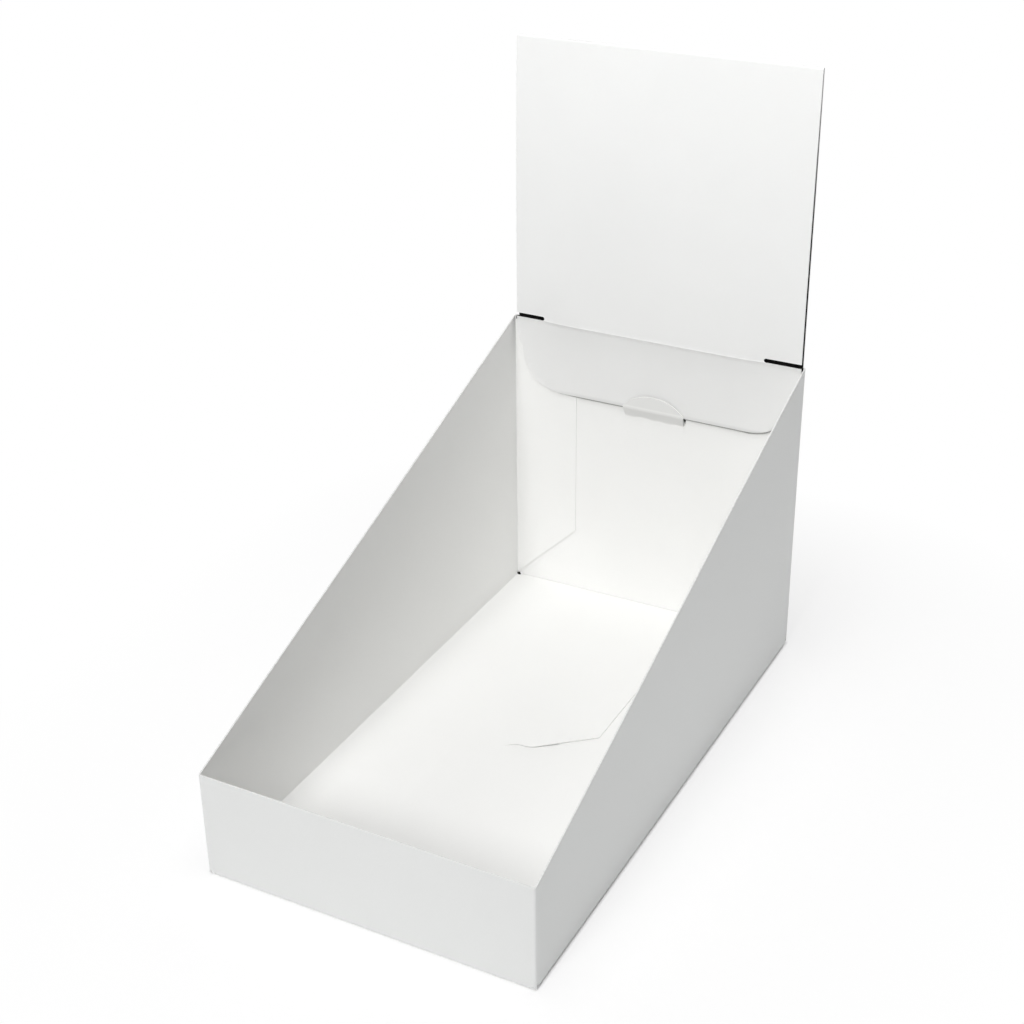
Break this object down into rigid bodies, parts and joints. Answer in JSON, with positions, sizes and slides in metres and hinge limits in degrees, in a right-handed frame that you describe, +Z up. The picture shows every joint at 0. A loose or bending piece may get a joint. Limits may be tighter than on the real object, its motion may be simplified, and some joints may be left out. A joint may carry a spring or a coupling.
{
  "type": "display box",
  "caption": "Open counter display box folded from one sheet of white board, with sloped side walls, a low front lip and a tall folded header.",
  "frame": {"origin": "middle of the footprint, on the surface the box stands on", "axes": "+Z up; the front lip faces -Y and the header stands at +Y; +X goes across the box, to the right seen from the front"},
  "size_m": [0.15, 0.272, 0.2845],
  "materials": {
    "white_board": "satin"
  },
  "bodies": {
    "root": {"board_box": "white_board"}
  },
  "joints": []
}
